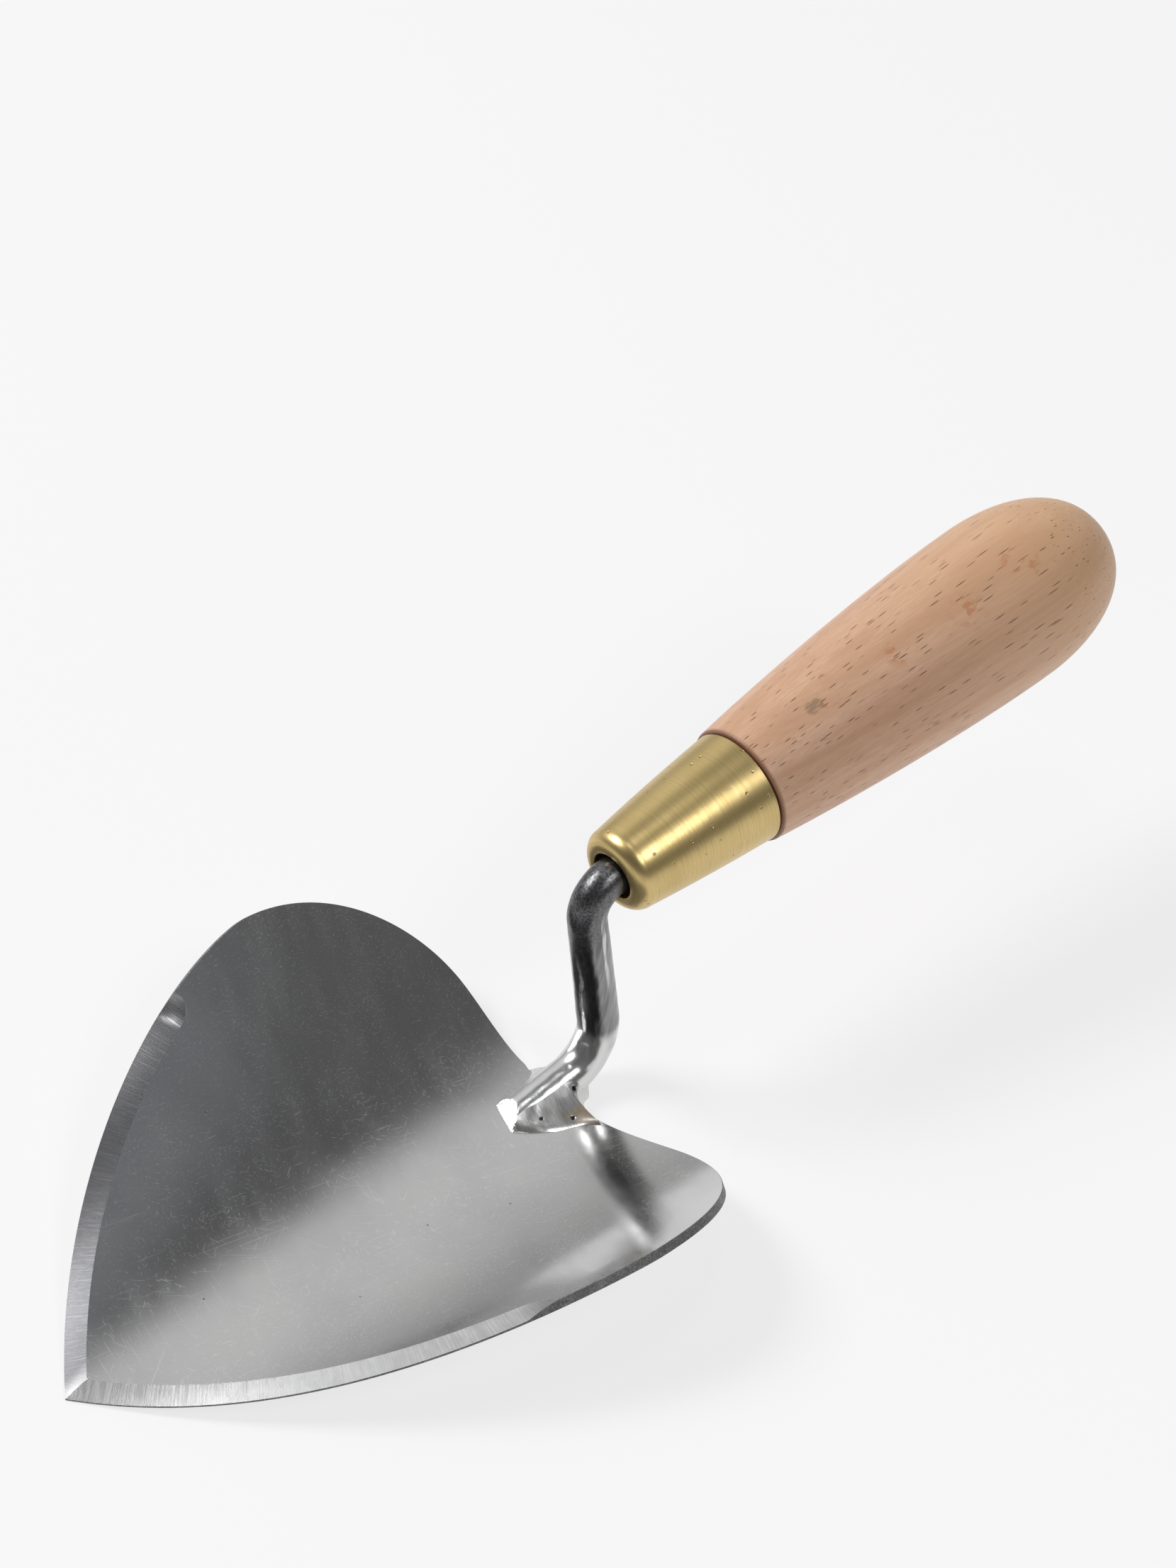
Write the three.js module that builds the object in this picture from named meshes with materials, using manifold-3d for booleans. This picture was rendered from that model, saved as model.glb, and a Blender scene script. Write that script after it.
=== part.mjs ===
// Heart-shaped hand trowel: a dished steel blade, a cranked steel neck that carries on as the
// tang, two fillet welds, a tapered brass ferrule and a turned wooden handle.
//
// Millimetres, +Z up. The tip of the blade points to -Y and the handle rises towards +Y. Inside
// the group z = 0 is the upper face of the blade on its centre line and y = 0 is the tip; the
// finished group is then moved so that its origin is the middle of its box, at the bottom.

import * as THREE from 'three';
import { mergeVertices } from 'three/addons/utils/BufferGeometryUtils.js';
import Module from 'manifold-3d';

const wasm = await Module();
wasm.setup();

// ---------------------------------------------------------------- driving sizes

const gap = 0.3;                  // clearance between pieces that touch

// Blade: one sheet, bent to an arc across its width and slightly arched along its length
const bladeLength = 133.9;        // tip to the rearmost point of the lobes
const bladeWidth = 126.6;         // across the lobes, on the upper face
const bladeThickness = 2.0;
const dishRadius = 99.4;          // arc of the upper face, across the blade
const bladeCamber = 2.2;          // rise of the centre line between the tip and the cleft
const lobeLength = 36.1;          // rearmost point to the widest line
const lobeSpacing = 69.7;         // between the rearmost points of the two lobes
const tipSlope = 35.7;            // degrees between each edge and the crosswise line, at the tip
const sideFullness = 0.89;        // how far the straight of the tip carries towards the side
const cleftDepth = 4.5;           // deepest point of the cleft, in front of the lobes
const cleftShoulder = 10.2;       // half-width at which the cleft turns in
const cleftTurn = 3.15;           // depth of that turn, in front of the lobes
const edgeEasing = 0.25;          // broken corner along the blunt part of the edge

// How full the curves of the outline are: handle lengths out of the span that each one bridges
const sideRun = 0.14;             // in front of the widest line, out of the lobe's length
const lobeSideRun = 0.56;         // behind the widest line, out of the lobe's length
const lobeBackRun = 0.61;         // outwards from the rearmost point, out of the lobe's half
const cleftOuterRun = 0.7;        // inwards from the rearmost point, out of the cleft's half-width
const cleftInnerRun = 0.6;        // outwards from the turn, out of the cleft's half-width

// Ground cutting edge, on the upper face from the tip along both sides
const bevelWidth = 4.0;
const bevelLand = 0.5;            // thickness left at the very edge
const bevelReach = 75.5;          // from the tip to where the bevel has run out
const bevelRunOut = 6.0;

// Neck: one round bar from the foot, through two bends, to the tip of the tang
const footDiameter = 8.9;
const neckDiameter = 8.4;         // where it enters the ferrule
const footLength = 18.2;          // foot, measured forwards from the back of the blade
const footSlope = 12.0;           // degrees by which the foot dips towards the tip
const footChamfer = 48.0;         // degrees of the ground facet on the end of the foot
const heelBend = 11.0;            // centre-line radius of the lower bend
const heelForward = 1.0;          // start of the lower bend, in front of the back of the blade
const crankHeight = 47.5;         // between the corners of the centre line
const crankLean = 9.1;            // degrees by which the upright leans towards the blade
const shoulderBend = 7.0;         // centre-line radius of the upper bend
const tangLength = 65.0;          // inside the ferrule and the handle
const tangTipDiameter = 5.0;

// Welds: one on each side of the foot
const weldToe = 1.0;              // beyond the side of the bar, at the front of the foot
const weldFlare = 9.6;            // beyond the side of the bar, at the back of the blade
const weldTail = 5.5;             // length behind the blade, along the heel
const weldThroat = 30.0;          // degrees above the bar's middle that the weld climbs
const weldRoot = 2.0;             // from the middle of the bar to where each weld starts under it

// Handle and ferrule, on one axis
const handlePitch = 7.1;          // degrees above the line of the blade
const ferruleLength = 36.0;
const ferruleNoseDiameter = 18.2;
const ferruleMouthDiameter = 25.7;
const ferruleWall = 1.2;
const ferruleLip = 3.5;           // rounding of the nose
const ferruleBulge = 0.25;        // swell of the taper at its middle
const tangHoleDiameter = 10.7;
const woodLength = 107.3;         // shoulder to butt
const woodShoulder = 0.6;         // step of the wood beyond the mouth of the ferrule
const bulbDiameter = 38.0;
const bulbLength = 29.0;          // from the thickest point to the butt
const buttFlat = 6.0;             // diameter of the flat left on the butt
const spigotSetback = 6.0;        // front of the spigot, behind the nose

// How full the turned curves are: handle lengths out of the length or radius that each one bridges
const neckedRun = 0.35;           // along the axis from the shoulder
const neckedSwell = 0.6;          // of the step in radius, gained over that run
const bulbRun = 0.25;             // along the axis in front of the thickest point
const domeRun = 0.55;             // along the axis behind the thickest point
const domeSpread = 0.68;          // of the bulb's radius, where the dome turns into the butt

// How finely the curves are stepped
const outlineSteps = 56;          // half of the heart
const ringShares = [0.84, 0.62, 0.4, 0.2];   // rings of the sheet, out of 1 at the edge
const fanPlace = 0.8;             // where those rings close, out of the way to the widest line
const barSides = 24;
const bendSteps = 10;
const weldSteps = 14;
const filletSteps = 5;
const turnedSides = 48;
const ferruleSteps = 5;
const lipSteps = 5;
const handleSteps = 12;

// ---------------------------------------------------------------- worked out from the above

const origin = new THREE.Vector2(0, 0);
const rad = THREE.MathUtils.degToRad;
const axisDirection = new THREE.Vector2(Math.cos(rad(handlePitch)), Math.sin(rad(handlePitch)));
const footDirection = new THREE.Vector2(Math.cos(rad(footSlope)), Math.sin(rad(footSlope)));
const uprightDirection = new THREE.Vector2(-Math.sin(rad(crankLean)), Math.cos(rad(crankLean)));
const footRadius = footDiameter / 2;
const neckRadius = neckDiameter / 2;
const footFront = bladeLength - footLength;

// Side view of the neck's centre line, as (y, z): the heel's underside is flush with the blade's
const bendTangent = (radius, from, to) => radius * Math.tan(Math.acos(from.dot(to)) / 2);
const heelTangent = bendTangent(heelBend, footDirection, uprightDirection);
const shoulderTangent = bendTangent(shoulderBend, uprightDirection, axisDirection);
const along = (start, direction, length) => start.clone().addScaledVector(direction, length);
const heelStart = new THREE.Vector2(bladeLength - heelForward, footRadius - bladeThickness);
const heelCorner = along(heelStart, footDirection, heelTangent);
const uprightLength = crankHeight / uprightDirection.y;
const shoulderCorner = along(heelCorner, uprightDirection, uprightLength);
const ferruleNose = along(shoulderCorner, axisDirection, shoulderTangent + gap);

// ---------------------------------------------------------------- solids

// A closed geometry from points and triangles, turned the right way out
function closedGeometry(points, triangles) {
  const normal = new THREE.Vector3();
  let volume = 0;
  for (const [i, j, k] of triangles) {
    volume += normal.copy(points[i]).cross(points[j]).dot(points[k]);
  }
  const geometry = new THREE.BufferGeometry().setFromPoints(points);
  geometry.setIndex(triangles.flatMap(([i, j, k]) => (volume > 0 ? [i, j, k] : [i, k, j])));
  return geometry;
}

// A body through rings of equal count, closed at each end by a fan to a point
function loft(rings, firstPoint, lastPoint) {
  const count = rings[0].length;
  const last = (rings.length - 1) * count;
  const triangles = [];
  for (let i = 0; i < count; i++) {
    const j = (i + 1) % count;
    for (let start = 0; start < last; start += count) {
      const [a, b, c, d] = [start + i, start + j, start + j + count, start + i + count];
      triangles.push([a, b, c], [a, c, d]);
    }
    triangles.push([last + count, j, i], [last + count + 1, last + i, last + j]);
  }
  return closedGeometry([...rings.flat(), firstPoint, lastPoint], triangles);
}

function solid(geometry) {
  const bare = geometry.clone();
  bare.deleteAttribute('normal');
  bare.deleteAttribute('uv');
  const merged = mergeVertices(bare, 1e-4);
  const vertProperties = new Float32Array(merged.attributes.position.array);
  const triVerts = new Uint32Array(merged.index.array);
  return new wasm.Manifold(new wasm.Mesh({ numProp: 3, vertProperties, triVerts }));
}

function geometryOf(manifold) {
  const { vertProperties, triVerts } = manifold.getMesh();
  const geometry = new THREE.BufferGeometry();
  geometry.setAttribute('position', new THREE.BufferAttribute(vertProperties, 3));
  geometry.setIndex(new THREE.BufferAttribute(triVerts, 1));
  return geometry;
}

function piece(name, geometry, color, roughness, metalness) {
  geometry.computeVertexNormals();
  const material = new THREE.MeshStandardMaterial({ color, roughness, metalness });
  const mesh = new THREE.Mesh(geometry, material);
  mesh.name = name;
  return mesh;
}

// ---------------------------------------------------------------- blade

// Rise of the centre line at a distance from the tip
function archHeight(y) {
  const share = y / (bladeLength - cleftDepth);
  return 4 * bladeCamber * share * (1 - share);
}

// Height of a face of the sheet over (x, y), for a depth below the upper face
function sheetHeight(x, y, depth) {
  return archHeight(y) + dishRadius - Math.sqrt((dishRadius + depth) ** 2 - x * x);
}

// The point of the sheet for a plan point, at a depth measured square to the upper face
function sheetPoint({ x, y }, depth) {
  const stretch = (dishRadius + depth) / dishRadius;
  const rise = Math.sqrt(dishRadius * dishRadius - x * x);
  return new THREE.Vector3(x * stretch, y, archHeight(y) + dishRadius - rise * stretch);
}

// Plan of the heart, from the tip round the right lobe to the cleft and back up the left
function heartOutline() {
  const side = bladeWidth / 2;
  const lobe = lobeSpacing / 2;
  const reach = sideFullness * side;
  const widest = bladeLength - lobeLength;
  const turn = bladeLength - cleftTurn;
  const cleft = bladeLength - cleftDepth;
  const half = new THREE.Path();
  half.moveTo(0, 0);
  half.bezierCurveTo(
    reach, reach * Math.tan(rad(tipSlope)), side, widest - lobeLength * sideRun, side, widest);
  half.bezierCurveTo(
    side, widest + lobeLength * lobeSideRun, lobe + (side - lobe) * lobeBackRun, bladeLength,
    lobe, bladeLength);
  half.bezierCurveTo(
    lobe - cleftShoulder * cleftOuterRun, bladeLength, cleftShoulder * (1 + cleftInnerRun), turn,
    cleftShoulder, turn);
  half.quadraticCurveTo(cleftShoulder / 2, cleft, 0, cleft);
  const right = half.getSpacedPoints(outlineSteps);
  const left = right.slice(1, -1).reverse().map(({ x, y }) => new THREE.Vector2(-x, y));
  return [...right, ...left];
}

// An outline moved inwards, by a width of its own at each point
function inset(outline, widthAt) {
  const count = outline.length;
  return outline.map((point, i) => {
    const before = point.clone().sub(outline[(i + count - 1) % count]).normalize();
    const after = outline[(i + 1) % count].clone().sub(point).normalize();
    const inward = new THREE.Vector2(-before.y - after.y, before.x + after.x);
    return point.clone().addScaledVector(inward, widthAt(point) / (1 + before.dot(after)));
  });
}

// How much of the ground bevel is left at a distance from the tip, from 1 down to 0
function bevelShare(y) {
  return 1 - THREE.MathUtils.smoothstep(y, bevelReach - bevelRunOut, bevelReach);
}

// The blade, or the room that it takes up: its faces moved outwards by a clearance, and its
// underside lowered past the arch of its centre line
function bladeGeometry(clearance = 0) {
  const lowest = bladeThickness + (clearance > 0 ? bladeCamber + clearance : 0);
  const outline = inset(heartOutline(), () => -clearance);
  const grindDepth = clearance > 0 ? 0 : bladeThickness - bevelLand - edgeEasing;
  const easing = clearance > 0 ? 0 : edgeEasing;
  const topEdge = inset(outline, ({ y }) => edgeEasing + bevelShare(y) * bevelWidth);
  const centre = new THREE.Vector2(0, (bladeLength - lobeLength) * fanPlace);
  const rings = [];
  for (const share of ringShares) {
    rings.unshift(topEdge.map((point) => sheetPoint(
      point.clone().lerp(centre, 1 - share), lowest)));
  }
  rings.push(outline.map((point) => sheetPoint(point, lowest)));
  rings.push(outline.map((point) => sheetPoint(
    point, easing + bevelShare(point.y) * grindDepth - clearance)));
  for (const share of [1, ...ringShares]) {
    rings.push(topEdge.map((point) => sheetPoint(
      point.clone().lerp(centre, 1 - share), -clearance)));
  }
  return loft(rings, sheetPoint(centre, lowest), sheetPoint(centre, -clearance));
}

// ---------------------------------------------------------------- neck

// Stations along the centre line: place and direction in the (y, z) plane, and bar radius
function neckStations(grow) {
  const stations = [];
  const add = (place, direction, radius) => stations.push({ place, direction, radius: radius + grow });
  const bend = (start, from, to, bendRadius, radiusAt) => {
    const square = new THREE.Vector2(-from.y, from.x);
    const turn = from.angleTo(to) * Math.sign(from.cross(to));
    const centre = along(start, square, bendRadius * Math.sign(turn));
    for (let step = 0; step <= bendSteps; step++) {
      const share = step / bendSteps;
      const place = start.clone().rotateAround(centre, turn * share);
      add(place, from.clone().rotateAround(origin, turn * share), radiusAt(share));
    }
  };
  const shoulderStart = along(shoulderCorner, uprightDirection, -shoulderTangent);
  add(along(heelStart, footDirection, -footLength - footRadius), footDirection, footRadius);
  bend(heelStart, footDirection, uprightDirection, heelBend, () => footRadius);
  bend(shoulderStart, uprightDirection, axisDirection, shoulderBend, () => neckRadius);
  const tangShoulder = along(ferruleNose, axisDirection, spigotSetback);
  const tangEnd = along(ferruleNose, axisDirection, tangLength);
  add(tangShoulder, axisDirection, neckRadius);
  const tangTaper = tangTipDiameter / 4;
  add(along(tangEnd, axisDirection, -tangTaper), axisDirection, tangTipDiameter / 2);
  add(tangEnd, axisDirection, tangTipDiameter / 2 - tangTaper);
  return stations;
}

function barGeometry(grow = 0) {
  const stations = neckStations(grow);
  const rings = stations.map(({ place, direction, radius }) => {
    const ring = [];
    for (let i = 0; i < barSides; i++) {
      const angle = (i + 0.5) * 2 * Math.PI / barSides;
      const [across, rise] = [radius * Math.cos(angle), radius * Math.sin(angle)];
      ring.push(new THREE.Vector3(
        across, place.x - direction.y * rise, place.y + direction.x * rise));
    }
    return ring;
  });
  const middle = ({ place }) => new THREE.Vector3(0, place.x, place.y);
  return loft(rings, middle(stations[0]), middle(stations.at(-1)));
}

// A cube to cut with, whose top face is centred on (0, y, z) and leans by an angle
function cutter(y, z, lean, size) {
  const block = new THREE.BoxGeometry(size, size, size);
  block.translate(0, 0, -size / 2);
  block.rotateX(lean);
  block.translate(0, y, z);
  return solid(block);
}

function neckGeometry() {
  const bar = solid(barGeometry());
  const seated = bar.subtract(solid(bladeGeometry(gap)));
  const flush = seated.subtract(cutter(bladeLength, -bladeThickness, 0, bladeLength));
  const lean = Math.PI + rad(footChamfer);
  return geometryOf(flush.subtract(cutter(footFront, 0, lean, 3 * footDiameter)));
}

// ---------------------------------------------------------------- welds

// Height of the middle of the bar over y, along the foot and round the heel
function barHeight(y) {
  const centre = along(heelStart, new THREE.Vector2(-footDirection.y, footDirection.x), heelBend);
  if (y <= heelStart.x) return heelStart.y + (y - heelStart.x) * footDirection.y / footDirection.x;
  return centre.y - Math.sqrt(heelBend ** 2 - (y - centre.x) ** 2);
}

// One weld, on the right: a concave fillet from the bar to the sheet, which flares out to the
// back edge of the blade and dies away round the heel
function weldGeometry() {
  const flareStart = bladeLength - (cleftTurn + cleftDepth) / 2;
  const front = footFront + footRadius;
  const end = flareStart + weldTail;
  const throat = new THREE.Vector2(Math.cos(rad(weldThroat)), Math.sin(rad(weldThroat)));
  const rings = [];
  for (let step = 0; step <= weldSteps; step++) {
    const y = THREE.MathUtils.lerp(front, end, step / weldSteps);
    const growth = (y - front) / (flareStart - front);
    const tail = Math.max(0, (y - flareStart) / weldTail);
    const reach = y < flareStart
      ? THREE.MathUtils.lerp(weldToe, weldFlare, growth ** 2)
      : weldFlare * (1 - Math.sqrt(1 - (1 - tail) ** 2)) + gap;
    const toe = footRadius + reach;
    const foot = new THREE.Vector2(throat.x * footRadius, barHeight(y) + throat.y * footRadius);
    const edge = new THREE.Vector2(toe, sheetHeight(toe, y, 0) + gap);
    const drop = Math.max(0, foot.y - edge.y);
    const bendPoint = new THREE.Vector2(
      Math.min(foot.x + drop * throat.y / throat.x, toe), edge.y);
    const fillet = new THREE.QuadraticBezierCurve(edge, bendPoint, foot).getPoints(filletSteps);
    const under = [weldRoot, (weldRoot + toe) / 2, toe].map(
      (x) => new THREE.Vector2(x, Math.max(sheetHeight(x, y, bladeThickness), -bladeThickness)));
    const section = [...under, ...fillet, new THREE.Vector2(weldRoot, foot.y)];
    rings.push(section.map(({ x, y: z }) => new THREE.Vector3(x, y, z)));
  }
  const corner = (ring) => ring[0].clone().lerp(ring.at(-1), 0.5).lerp(ring[1], 0.1);
  const mound = solid(loft(rings, corner(rings[0]), corner(rings.at(-1))));
  const room = solid(bladeGeometry(gap)).add(solid(barGeometry(gap)));
  return geometryOf(mound.subtract(room));
}

function mirrored(geometry) {
  const copy = geometry.clone().scale(-1, 1, 1);
  const index = copy.index.array;
  for (let i = 0; i < index.length; i += 3) [index[i], index[i + 1]] = [index[i + 1], index[i]];
  return copy;
}

// ---------------------------------------------------------------- ferrule and handle

// Radius of the outside of the ferrule at a distance from its nose
function ferruleRadius(y) {
  const share = y / ferruleLength;
  const taper = THREE.MathUtils.lerp(ferruleNoseDiameter, ferruleMouthDiameter, share) / 2;
  return taper + 4 * ferruleBulge * share * (1 - share);
}

function ferruleGeometry() {
  const hole = tangHoleDiameter / 2;
  const lipMiddle = ferruleRadius(ferruleLip) - ferruleLip;
  const inside = (y) => Math.max(hole, ferruleRadius(y) - ferruleWall);
  const profile = new THREE.Path();
  profile.moveTo(hole, 0);
  profile.lineTo(Math.max(hole, lipMiddle), 0);
  profile.absarc(lipMiddle, ferruleLip, ferruleLip, -Math.PI / 2, 0, false);
  for (let step = 1; step <= ferruleSteps; step++) {
    const y = THREE.MathUtils.lerp(ferruleLip, ferruleLength, step / ferruleSteps);
    profile.lineTo(ferruleRadius(y), y);
  }
  for (let step = ferruleSteps; step >= 0; step--) {
    const y = THREE.MathUtils.lerp(ferruleLip, ferruleLength, step / ferruleSteps);
    profile.lineTo(inside(y), y);
  }
  profile.lineTo(hole, ferruleWall);
  profile.lineTo(hole, 0);
  return new THREE.LatheGeometry(profile.getPoints(lipSteps), turnedSides);
}

function handleGeometry() {
  const shoulder = ferruleLength + gap;
  const shoulderRadius = ferruleMouthDiameter / 2 + woodShoulder;
  const butt = ferruleLength + woodLength;
  const bulb = butt - bulbLength;
  const bulbRadius = bulbDiameter / 2;
  const spigot = (y) => ferruleRadius(y) - ferruleWall - gap;
  const boreEnd = tangLength + gap;
  const profile = new THREE.Path();
  profile.moveTo(0, boreEnd);
  profile.lineTo(tangTipDiameter / 2 + gap, boreEnd);
  profile.lineTo(neckRadius + gap, spigotSetback);
  profile.lineTo(spigot(spigotSetback), spigotSetback);
  profile.lineTo(spigot(ferruleLength / 2), ferruleLength / 2);
  profile.lineTo(spigot(ferruleLength), ferruleLength);
  profile.lineTo(spigot(ferruleLength), shoulder);
  profile.lineTo(shoulderRadius - woodShoulder, shoulder);
  profile.quadraticCurveTo(shoulderRadius, shoulder, shoulderRadius, shoulder + woodShoulder);
  profile.bezierCurveTo(
    THREE.MathUtils.lerp(shoulderRadius, bulbRadius, neckedSwell),
    THREE.MathUtils.lerp(shoulder, bulb, neckedRun),
    bulbRadius, THREE.MathUtils.lerp(bulb, shoulder, bulbRun), bulbRadius, bulb);
  profile.bezierCurveTo(
    bulbRadius, bulb + bulbLength * domeRun, bulbRadius * domeSpread, butt, buttFlat / 2, butt);
  profile.lineTo(0, butt);
  return new THREE.LatheGeometry(profile.getPoints(handleSteps), turnedSides);
}

// ---------------------------------------------------------------- assembly

const steel = 0x8f9294;
const brass = 0xb59a52;
const beech = 0xcfa98c;

const weld = weldGeometry();
const turned = new THREE.Group();
turned.position.set(0, ferruleNose.x, ferruleNose.y);
turned.rotation.x = rad(handlePitch);
turned.add(
  piece('ferrule', ferruleGeometry(), brass, 0.38, 1),
  piece('handle', handleGeometry(), beech, 0.55, 0),
);

const trowel = new THREE.Group();
trowel.add(
  piece('blade', bladeGeometry(), steel, 0.22, 1),
  piece('neck', neckGeometry(), steel, 0.3, 1),
  piece('weld_right', weld, steel, 0.28, 1),
  piece('weld_left', mirrored(weld), steel, 0.28, 1),
  turned,
);

const group = new THREE.Group();
group.add(trowel);
const box = new THREE.Box3().setFromObject(trowel, true);
const middle = box.getCenter(new THREE.Vector3());
trowel.position.set(-middle.x, -middle.y, -box.min.z);

export default group;
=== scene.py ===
"""A heart-shaped garden hand trowel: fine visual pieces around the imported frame.

Shapes are worked out in the trowel's own millimetres, with the tip of the blade at (0, 0, 0) on
the upper face, +Y towards the handle and +Z up, and are then placed in the frame in metres.
"""
import math

import bmesh
import bpy
import numpy as np
from mathutils import Matrix, Vector


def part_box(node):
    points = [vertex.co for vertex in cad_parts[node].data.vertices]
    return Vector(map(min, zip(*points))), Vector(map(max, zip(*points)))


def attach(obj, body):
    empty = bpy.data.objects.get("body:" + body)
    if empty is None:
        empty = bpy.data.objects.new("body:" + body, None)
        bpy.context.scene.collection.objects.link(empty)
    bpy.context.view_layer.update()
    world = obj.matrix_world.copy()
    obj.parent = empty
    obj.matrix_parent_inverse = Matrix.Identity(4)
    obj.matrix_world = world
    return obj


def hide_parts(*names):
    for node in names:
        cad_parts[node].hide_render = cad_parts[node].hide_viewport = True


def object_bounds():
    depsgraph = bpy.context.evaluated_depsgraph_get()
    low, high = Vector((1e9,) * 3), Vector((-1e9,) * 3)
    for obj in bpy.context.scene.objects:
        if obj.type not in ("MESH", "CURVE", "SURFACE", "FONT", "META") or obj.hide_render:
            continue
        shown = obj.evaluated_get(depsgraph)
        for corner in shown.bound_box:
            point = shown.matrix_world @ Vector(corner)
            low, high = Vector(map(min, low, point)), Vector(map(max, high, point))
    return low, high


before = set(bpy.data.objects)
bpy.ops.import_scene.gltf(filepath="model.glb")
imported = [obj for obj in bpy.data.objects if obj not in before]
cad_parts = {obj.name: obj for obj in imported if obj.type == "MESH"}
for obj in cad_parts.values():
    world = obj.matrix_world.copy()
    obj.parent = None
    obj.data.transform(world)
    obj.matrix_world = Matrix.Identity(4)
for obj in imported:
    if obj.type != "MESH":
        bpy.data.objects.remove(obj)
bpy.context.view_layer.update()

# ------------------------------------------------------------------ sizes, in millimetres

MM = 0.001
BLADE_LOW, BLADE_HIGH = (np.array(corner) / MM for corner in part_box("blade"))
BLADE_LENGTH = BLADE_HIGH[1] - BLADE_LOW[1]
BLADE_THICKNESS = 2.0
DISH_RADIUS = 99.4
BLADE_WIDTH = (BLADE_HIGH[0] - BLADE_LOW[0]) * DISH_RADIUS / (DISH_RADIUS + BLADE_THICKNESS)
BLADE_CAMBER = 2.2
LOBE_LENGTH = 36.1
LOBE_SPACING = 69.7
TIP_SLOPE = math.radians(35.7)
SIDE_FULLNESS = 0.89
CLEFT_DEPTH = 4.5
CLEFT_SHOULDER = 10.2
CLEFT_TURN = 3.15              # how far before the back of the lobes the cleft turns in
SIDE_RUN = 1 / 7               # how far each curve of the outline runs on past its end,
LOBE_SIDE_RUN = 0.56           # as shares of the lobe or of the shoulder of the cleft
LOBE_BACK_RUN = 0.61
CLEFT_OUTER_RUN = 0.7
CLEFT_INNER_RUN = 0.6
BEVEL_WIDTH = 4.2
BEVEL_LAND = 0.5
BEVEL_REACH = 75.5
BEVEL_RUN_OUT = 6.0
EDGE_BREAK = 0.12
SEAT_DEPTH = 0.9               # how far the foot and the welds are sunk into the sheet

FOOT_RADIUS = 4.45
NECK_RADIUS = 4.2
FOOT_LENGTH = 18.2
FOOT_SLOPE = math.radians(12.0)
FOOT_CHAMFER = math.radians(48.0)
HEEL_BEND = 11.0
HEEL_FORWARD = 1.0
CRANK_HEIGHT = 47.5
CRANK_LEAN = math.radians(9.1)
SHOULDER_BEND = 7.0
SHOULDER_LEAD = 0.3
TANG_LENGTH = 60.0

HANDLE_PITCH = math.radians(7.1)
FERRULE_LENGTH = 36.0
FERRULE_NOSE_RADIUS = 9.1
FERRULE_MOUTH_RADIUS = 12.85
FERRULE_WALL = 1.2
FERRULE_LIP = 3.5
FERRULE_BULGE = 0.25
TANG_HOLE_RADIUS = 5.35
WOOD_LENGTH = 107.3
WOOD_STEP = 0.6
WOOD_GAP = 0.3
BULB_RADIUS = 19.0
BULB_LENGTH = 29.0
BUTT_FLAT_RADIUS = 3.0
NECKED_SWELL = 0.6             # the handle's outline between the shoulder and the bulb
NECKED_RUN = 0.35
BULB_RUN = 0.25
DOME_RUN = 0.55                # and over its end
DOME_SPREAD = 0.68
SPIGOT_SETBACK = 6.0

PLACE = np.array([0.0, BLADE_LOW[1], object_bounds()[0][2] / MM + BLADE_THICKNESS])

# Side view, as (y, z): directions and places along the neck
AXIS = np.array([math.cos(HANDLE_PITCH), math.sin(HANDLE_PITCH)])
FOOT = np.array([math.cos(FOOT_SLOPE), math.sin(FOOT_SLOPE)])
UPRIGHT = np.array([-math.sin(CRANK_LEAN), math.cos(CRANK_LEAN)])
FOOT_FRONT = BLADE_LENGTH - FOOT_LENGTH
HEEL_START = np.array([BLADE_LENGTH - HEEL_FORWARD, FOOT_RADIUS - BLADE_THICKNESS])
HEEL_TANGENT = HEEL_BEND * math.tan(math.acos(FOOT @ UPRIGHT) / 2)
SHOULDER_TANGENT = SHOULDER_BEND * math.tan(math.acos(UPRIGHT @ AXIS) / 2)
HEEL_CORNER = HEEL_START + HEEL_TANGENT * FOOT
SHOULDER_CORNER = HEEL_CORNER + CRANK_HEIGHT / UPRIGHT[1] * UPRIGHT
NOSE = SHOULDER_CORNER + (SHOULDER_TANGENT + SHOULDER_LEAD) * AXIS


# ------------------------------------------------------------------ meshes

def smoothstep(value, low, high):
    share = np.clip((value - low) / (high - low), 0.0, 1.0)
    return share * share * (3.0 - 2.0 * share)


def new_piece(name, points, faces, crease=30.0):
    """A smooth-shaded piece from trowel millimetres, placed in the frame."""
    mesh = bpy.data.meshes.new(name)
    placed = (np.asarray(points, dtype=float) + PLACE) * MM
    mesh.from_pydata(placed.tolist(), [], [list(face) for face in faces])
    mesh.validate()
    bm = bmesh.new()
    bm.from_mesh(mesh)
    bmesh.ops.recalc_face_normals(bm, faces=bm.faces)
    bm.to_mesh(mesh)
    bm.free()
    for polygon in mesh.polygons:
        polygon.use_smooth = True
    mesh.set_sharp_from_angle(angle=math.radians(crease))
    piece = bpy.data.objects.new(name, mesh)
    bpy.context.scene.collection.objects.link(piece)
    return piece


def ring_faces(rings, count):
    """Quads between neighbouring rings of points."""
    faces = []
    for ring in range(rings - 1):
        for i in range(count):
            j = (i + 1) % count
            faces.append((ring * count + i, ring * count + j,
                          (ring + 1) * count + j, (ring + 1) * count + i))
    return faces


def loft(rings):
    """Points and faces of a body through rings, each end closed on its middle."""
    count = len(rings[0])
    points = np.concatenate(rings + [rings[0].mean(0)[None], rings[-1].mean(0)[None]])
    faces = ring_faces(len(rings), count)
    start, end = len(points) - 2, len(points) - 1
    first = (len(rings) - 1) * count
    for i in range(count):
        j = (i + 1) % count
        faces.append((start, j, i))
        faces.append((end, first + i, first + j))
    return points, faces


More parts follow.
